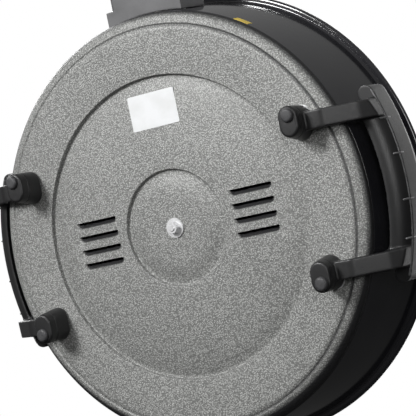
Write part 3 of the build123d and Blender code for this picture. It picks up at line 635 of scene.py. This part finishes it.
def turned(line, closed=False):
    """Verts and faces of a line of (radius, height) points turned round the pan's axis."""
    count = len(TURNS)
    verts = [Vector((p.x * math.cos(t), p.x * math.sin(t), p.y)) for p in line for t in TURNS]
    faces = []
    for ring in range(len(line) if closed else len(line) - 1):
        start, end = ring * count, (ring + 1) % len(line) * count
        for n in range(count):
            after = (n + 1) % count
            faces.append((start + n, end + n, end + after, start + after))
    return verts, faces


def joined(shapes):
    """One list of verts and faces from several."""
    verts, faces = [], []
    for more_verts, more_faces in shapes:
        start = len(verts)
        verts += more_verts
        faces += [tuple(start + i for i in face) for face in more_faces]
    return verts, faces


def rounded_profile(corners):
    """Points along a profile whose corners are rounded with a short curve."""
    points = []
    for index, (r, z, radius) in enumerate(corners):
        here = Vector((r, z))
        if radius == 0:
            points.append(here)
            continue
        before = Vector(corners[index - 1][:2]) - here
        after = Vector(corners[index + 1][:2]) - here
        reach = min(radius, before.length * 0.45, after.length * 0.45)
        start = here + before.normalized() * reach
        end = here + after.normalized() * reach
        for step in range(6):
            t = step / 5
            points.append(start * (1 - t) ** 2 + here * 2 * t * (1 - t) + end * t ** 2)
    return points


# ---- pan ----

# section of the pan with its rolled rim, from the floor's underside round to its top:
# (radius, height, corner radius), in mm
PAN_PROFILE = (
    (0.4, 66, 0), (190.8, 66, 4), (192.6, 40, 0.5), (195.5, 40, 0.6), (202.5, 121.6, 2.5),
    (204.0, 124, 1.2), (210, 124, 3), (210, 130, 3), (203.6, 130, 1.4), (203.6, 125, 0.5),
    (200.4, 125, 1.0), (195, 71, 12), (0.4, 71, 0),
)
SHARP_PAN = 32                  # degrees between faces that stay sharp
# low and high corner of the socket's window
SOCKET_WINDOW = ((-24 * MM, -203 * MM, 52.8 * MM), (24 * MM, -183.5 * MM, 65.9 * MM))


def make_pan():
    """Pan with a window for the socket cut in its skirt."""
    line = [p * MM for p in rounded_profile(PAN_PROFILE)]
    mesh = mesh_from("pan_shell", *turned(line, closed=True))
    faced_out(mesh)
    piece = new_piece("pan_shell", mesh, PAN, "pan_enamel", "pan_body")
    low, high = SOCKET_WINDOW
    verts = [(x, y, z) for x in (low[0], high[0]) for y in (low[1], high[1])
             for z in (low[2], high[2])]
    faces = [(0, 1, 3, 2), (4, 6, 7, 5), (0, 4, 5, 1), (2, 3, 7, 6), (0, 2, 6, 4), (1, 5, 7, 3)]
    cutter = bpy.data.objects.new("window", mesh_from("window", verts, faces))
    scene.collection.objects.link(cutter)
    cut = piece.modifiers.new("window", "BOOLEAN")
    cut.object = cutter
    cut.solver = "EXACT"
    settle(piece)
    bpy.data.objects.remove(cutter)
    smooth_shaded(piece.data, SHARP_PAN)


# ---- bottom cover ----

COVER_SHEET = 1.1 * MM
SLOT_X = 85.1 * MM              # middle of each block of slots
SLOT_PITCH = 12.8 * MM
SLOT_HALF = 23.7 * MM           # half a slot's length
SLOT_R = 3.2 * MM               # radius of its ends
LOUVRE_DEPTH = 4.6 * MM
LOUVRE_GAP = 2.0 * MM           # opening between a louvre's lip and its slot's edge
LOUVRE_RUN = 6.5 * MM           # length over which a louvre sinks at each end
GAP_START = 1.2 * MM            # distance from a slot's end at which the opening begins
GAP_RUN = 2.4 * MM
PLAIN_RING = (56 * MM, 121 * MM)  # radii of the flat ring that holds the slots
SHARP_COVER = 22                # degrees between faces that stay sharp

# pressed profile from the centre out: (radius, height above the underside, corner radius), in mm
COVER_PROFILE = (
    (3.4, 0.0, 0), (37.2, 0.0, 6.0), (49.6, 3.0, 1.6), (52.3, 3.0, 0.8), (53.3, 0.0, 0.7),
    (123.0, 0.0, 6.0), (135.4, 3.5, 1.8), (137.9, 3.5, 0.6), (138.9, 0.0, 0.5),
    (179.8, 0.0, 1.6), (183.2, 1.7, 0.9), (184.8, 0.7, 1.5), (191.4, 3.6, 4.0),
    (194.8, 7.2, 3.0), (195.3, 10.0, 0),
)


def smooth_step(t):
    """Eased rise from 0 at t = 0 to 1 at t = 1."""
    t = min(max(t, 0.0), 1.0)
    return t * t * (3 - 2 * t)


def slot_columns():
    """Places along a slot, closer together at its round ends."""
    straight = SLOT_HALF - SLOT_R
    ends = [straight + SLOT_R * math.sin(math.pi / 2 * n / 7) for n in range(1, 8)]
    middle = [straight * (2 * n / 20 - 1) for n in range(21)]
    return [-x for x in reversed(ends)] + middle + ends


def slot_half_width(x):
    """Half a slot's width at a distance from its middle."""
    over = max(0.0, abs(x) - (SLOT_HALF - SLOT_R))
    return math.sqrt(max(0.0, SLOT_R ** 2 - over ** 2))


def slot_outline(cx, cy):
    """Closed loop of points round one slot, in order."""
    columns = slot_columns()
    far = [(cx + x, cy + slot_half_width(x)) for x in columns]
    near = [(cx + x, cy - slot_half_width(x)) for x in reversed(columns[1:-1])]
    return far + near


def louvre(cx, cy):
    """Scooped flap in one slot: flush along the slot's back, deepest at its free lip."""
    columns = slot_columns()[1:-1]
    rows = 7
    verts, faces = [], []
    for x in columns:
        half = slot_half_width(x)
        depth = LOUVRE_DEPTH * smooth_step((SLOT_HALF - abs(x)) / LOUVRE_RUN)
        gap = LOUVRE_GAP * smooth_step((SLOT_HALF - GAP_START - abs(x)) / GAP_RUN)
        lip = -half + gap
        for row in range(rows + 1):
            share = row / rows
            y = half + (lip - half) * share
            bow = math.sin(share * math.pi / 2) * 0.55 + share * 0.45
            verts.append(Vector((cx + x, cy + y, COVER_LOW + depth * bow)))
    for column in range(len(columns) - 1):
        for row in range(rows):
            a = column * (rows + 1) + row
            faces.append((a, a + rows + 1, a + rows + 2, a + 1))
    return verts, faces


def make_cover():
    """Pressed sheet: rings turned round the axis, a flat ring with slots, and the louvres."""
    profile = [
        Vector((p.x * MM, COVER_LOW + p.y * MM)) for p in rounded_profile(COVER_PROFILE)
    ]
    inner = [p for p in profile if p.x < PLAIN_RING[0]] + [Vector((PLAIN_RING[0], COVER_LOW))]
    outer = [Vector((PLAIN_RING[1], COVER_LOW))] + [p for p in profile if p.x > PLAIN_RING[1]]
    shapes = [turned(inner), turned(outer)]
    loops = [[(r * math.cos(t), r * math.sin(t)) for t in TURNS] for r in PLAIN_RING]
    slots = [(sx * SLOT_X, row * SLOT_PITCH) for sx in (1, -1) for row in (-1.5, -0.5, 0.5, 1.5)]
    loops += [slot_outline(*slot) for slot in slots]
    points, edges = [], []
    for loop in loops:
        start = len(points)
        points += [Vector(p) for p in loop]
        edges += [(start + n, start + (n + 1) % len(loop)) for n in range(len(loop))]
    flat_points, _, flat_faces, *_ = delaunay_2d_cdt(points, edges, [], 0, 1e-7)

    def in_slot(x, y):
        for cx, cy in slots:
            if abs(x - cx) < SLOT_HALF and abs(y - cy) < slot_half_width(x - cx) - 1e-6:
                return True
        return False

    kept = []
    for face in flat_faces:
        x = sum(flat_points[i].x for i in face) / len(face)
        y = sum(flat_points[i].y for i in face) / len(face)
        if PLAIN_RING[0] < math.hypot(x, y) < PLAIN_RING[1] and not in_slot(x, y):
            kept.append(tuple(face))
    shapes.append(([Vector((p.x, p.y, COVER_LOW)) for p in flat_points], kept))
    shapes += [louvre(*slot) for slot in slots]

    verts, faces = joined(shapes)
    mesh = mesh_from("cover_sheet", verts, faces)
    work = bmesh.new()
    work.from_mesh(mesh)
    bmesh.ops.remove_doubles(work, verts=work.verts, dist=2e-6)
    loose = [v for v in work.verts if not v.link_faces]
    bmesh.ops.delete(work, geom=loose, context="VERTS")
    for face in work.faces:
        if face.normal.z > 0:
            face.normal_flip()
    work.to_mesh(mesh)
    work.free()
    piece = new_piece("cover_sheet", mesh, PAN, "cover_hammer", "bottom_cover")
    thick = piece.modifiers.new("thickness", "SOLIDIFY")
    thick.thickness = COVER_SHEET
    thick.offset = -1
    thick.use_even_offset = False
    settle(piece)
    smooth_shaded(piece.data, SHARP_COVER)


# ---- feet, handles and grips ----

GRIP_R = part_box("grip_cover_right")[1].x
SEAM_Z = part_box("handle_right")[1].z
RIDGE_Y = (-55 * MM, -23 * MM, 17 * MM, 50 * MM)  # moulding ridges across the seam
RIDGE_R = 0.85 * MM
RIDGE_LENGTH = 13 * MM
SEAM_R = 0.75 * MM
SEAM_TURN = math.radians(21.5)  # half the angle that a seam spans


def grip_side(z):
    """Radius of a grip's outer face at a height: plain above the seam, curved in below it."""
    under = max(0.0, SEAM_Z - z) / (9 * MM)
    return GRIP_R - 0.5 * MM - 4.4 * MM * under ** 1.7


def seam_trim():
    """The bead along a right grip's seam, and four short ridges across it."""
    steps = 60
    turns = [SEAM_TURN * (2 * n / steps - 1) for n in range(steps + 1)]
    r = GRIP_R - 0.9 * MM
    shapes = [tube([(r * math.cos(t), r * math.sin(t), SEAM_Z) for t in turns], SEAM_R)]
    for y in RIDGE_Y:
        points = []
        for n in range(13):
            z = SEAM_Z + (n / 12 - 0.5) * RIDGE_LENGTH
            r = grip_side(z) + 0.1 * MM
            points.append((math.sqrt(r * r - y * y), y, z))
        shapes.append(tube(points, RIDGE_R))
    return mesh_from("grip_seam", *joined(shapes))


def make_grips():
    """Handles, grip shells and seams: the left ones mirror the right ones."""
    moulding = soften("handle", "handle_right", 0.8 * MM, 7, 0.34)
    shell = soften("grip_shell", "grip_cover_right", 0.8 * MM, 6, 0.34)
    trim = seam_trim()
    for name, sign in SIDES:
        for part, mesh, replaced in (
            ("handle_moulding", moulding, ["handle_" + name]),
            ("grip_shell", shell, ["grip_cover_" + name]),
            ("grip_seam", trim, []),
        ):
            own = mesh.copy() if sign > 0 else flipped(mesh)
            piece = new_piece(f"{part}_{name}", own, PAN, "black_phenolic", *replaced)
            # the seam's bead and ridges take the paler plastic, a painted highlight
            if part == "grip_seam":
                piece.data.materials[0] = seam_highlight


def make_feet():
    """Foot caps and their rubber pads, with moulded edges."""
    for corner in CORNERS:
        cap = soften("cap_" + corner, "foot_cap_" + corner, 0.45 * MM, 3, 0.3)
        new_piece("foot_moulding_" + corner, cap, PAN, "black_phenolic", "foot_cap_" + corner)
        pad = soften("pad_" + corner, "foot_pad_" + corner, 0.35 * MM, 2, 0.3)
        new_piece("foot_dome_" + corner, pad, PAN, "foot_rubber", "foot_pad_" + corner)


# ---- socket, control and label ----

def make_plastics():
    """Mouldings whose corners need softening: the socket's guard and the control's housings."""
    for node, body, slot, voxel in (
        ("socket_guard", PAN, "guard_plastic", 0.6 * MM),
        ("control_lower_housing", CONTROL, "control_black", 0.7 * MM),
        ("control_upper_housing", CONTROL, "control_black", 0.7 * MM),
    ):
        mesh = soften(node + "_soft", node, voxel, 4, 0.3)
        new_piece(node + "_moulding", mesh, body, slot, node)


def make_label():
    """Blank label with rounded corners, a little proud of the cover."""
    low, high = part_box("rating_label")
    corner = 1.6 * MM
    ring = []
    for cx, cy, start in (
        (high.x - corner, high.y - corner, 0), (low.x + corner, high.y - corner, 90),
        (low.x + corner, low.y + corner, 180), (high.x - corner, low.y + corner, 270),
    ):
        for n in range(7):
            turn = math.radians(start + 15 * n)
            ring.append((cx + corner * math.cos(turn), cy + corner * math.sin(turn)))
    count = len(ring)
    centre = ((low.x + high.x) / 2, (low.y + high.y) / 2)
    verts, faces = [], []
    for z, inset in ((high.z, 0.0), (low.z + 0.05 * MM, 0.0), (low.z, 0.004)):
        for x, y in ring:
            verts.append((x + (centre[0] - x) * inset, y + (centre[1] - y) * inset, z))
    for band in range(2):
        for n in range(count):
            a, b = band * count + n, band * count + (n + 1) % count
            faces.append((a, b, b + count, a + count))
    faces.append(tuple(range(count)))
    faces.append(tuple(reversed(range(2 * count, 3 * count))))
    mesh = mesh_from("blank_label", verts, faces)
    faced_out(mesh)
    new_piece("blank_label", mesh, PAN, "label_white", "rating_label")


NUMBER_R = 14.5 * MM            # radius of the dial's ring of numbers
NUMBER_SIZE = 5.2 * MM
NUMBER_STEP = 48                # degrees from one number to the next
POINTER_GAP = 0.8 * MM
POINTER_LENGTH = 3.0 * MM
POINTER_HALF = 1.8 * MM
POINTER_RISE = 0.2 * MM


def raised_number(number, place, turn):
    """A raised number on the dial, lying flat at a place and turned about the vertical."""
    name = f"dial_number_{number}"
    curve = bpy.data.curves.new(name, "FONT")
    curve.body = str(number)
    curve.size = NUMBER_SIZE
    curve.align_x = "CENTER"
    curve.align_y = "CENTER"
    curve.extrude = 0.15 * MM
    curve.resolution_u = 3
    source = bpy.data.objects.new(name, curve)
    scene.collection.objects.link(source)
    depsgraph = bpy.context.evaluated_depsgraph_get()
    mesh = bpy.data.meshes.new_from_object(source.evaluated_get(depsgraph))
    bpy.data.objects.remove(source)
    mesh.transform(Matrix.Translation(place) @ Matrix.Rotation(turn, 4, "Z"))
    piece = new_piece(name, mesh, DIAL, "dial_plastic")
    piece.data.materials[0] = print_ink


def make_dial_marks():
    """Numbers 0 to 5 round the dial's top, and a raised pointer beside it on the housing."""
    low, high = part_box("temperature_dial")
    cx, cy = (low.x + high.x) / 2, (low.y + high.y) / 2
    for n in range(6):
        turn = math.radians(90 + NUMBER_STEP * n)
        place = (cx + NUMBER_R * math.cos(turn), cy + NUMBER_R * math.sin(turn), high.z)
        raised_number(n, place, turn - math.pi / 2)
    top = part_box("control_upper_housing")[1].z
    tip = high.y + POINTER_GAP
    base = tip + POINTER_LENGTH
    corners = [(cx, tip), (cx + POINTER_HALF, base), (cx - POINTER_HALF, base)]
    verts = [(x, y, z) for z in (top - POINTER_RISE, top + POINTER_RISE) for x, y in corners]
    faces = [(2, 1, 0), (3, 4, 5), (0, 1, 4, 3), (1, 2, 5, 4), (2, 0, 3, 5)]
    pointer = new_piece("dial_pointer", mesh_from("dial_pointer", verts, faces), CONTROL,
                        "control_black")
    pointer.data.materials[0] = print_ink


make_camera()
make_world()
make_lights()
make_pan()
make_cover()
make_grips()
make_feet()
make_plastics()
make_label()
make_dial_marks()

floor_verts = [(-FLOOR, -FLOOR, 0), (FLOOR, -FLOOR, 0), (FLOOR, FLOOR, 0), (-FLOOR, FLOOR, 0)]
floor_mesh = mesh_from("floor", floor_verts, [(0, 1, 2, 3)])
floor_mesh.materials.append(pale_floor())
floor = bpy.data.objects.new("floor", floor_mesh)
scene.collection.objects.link(floor)
